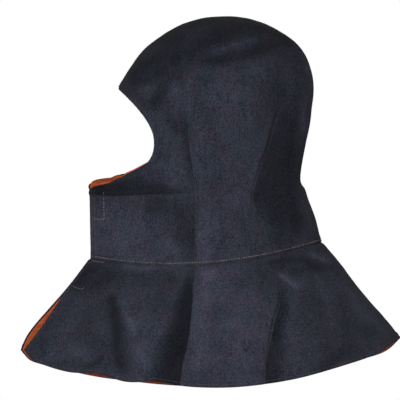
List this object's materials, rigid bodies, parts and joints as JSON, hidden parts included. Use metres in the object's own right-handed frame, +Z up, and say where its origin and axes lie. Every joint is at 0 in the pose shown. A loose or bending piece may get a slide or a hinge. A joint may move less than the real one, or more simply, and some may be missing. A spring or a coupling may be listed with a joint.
{
  "type": "welding cap with neck flap",
  "caption": "Lined denim welding hood with an open face, a front opening that closes with hook-and-loop tapes, and a flared neck flap sewn on at the neck seam.",
  "frame": {"origin": "where the top of the wearer's head touches the lining, under the highest point of the crown", "axes": "+Z up, the wearer faces -Y, the wearer's left is +X"},
  "size_m": [0.2716, 0.455, 0.4444],
  "materials": {
    "denim": "dark indigo twill, matt",
    "lining": "orange plain-weave cotton, matt",
    "hook_tape": "nylon hooks on a woven tape",
    "loop_tape": "brushed nylon loops on a woven tape"
  },
  "bodies": {
    "root": {"hood_panel_left": "denim", "hood_panel_right": "denim", "flap_panel_left": "denim", "flap_panel_right": "denim", "hood_lining_left": "lining", "hood_lining_right": "lining", "flap_lining_left": "lining", "flap_lining_right": "lining", "hook_tape_upper": "hook_tape", "hook_tape_lower": "hook_tape", "loop_tape_upper": "loop_tape", "loop_tape_lower": "loop_tape"}
  },
  "joints": []
}
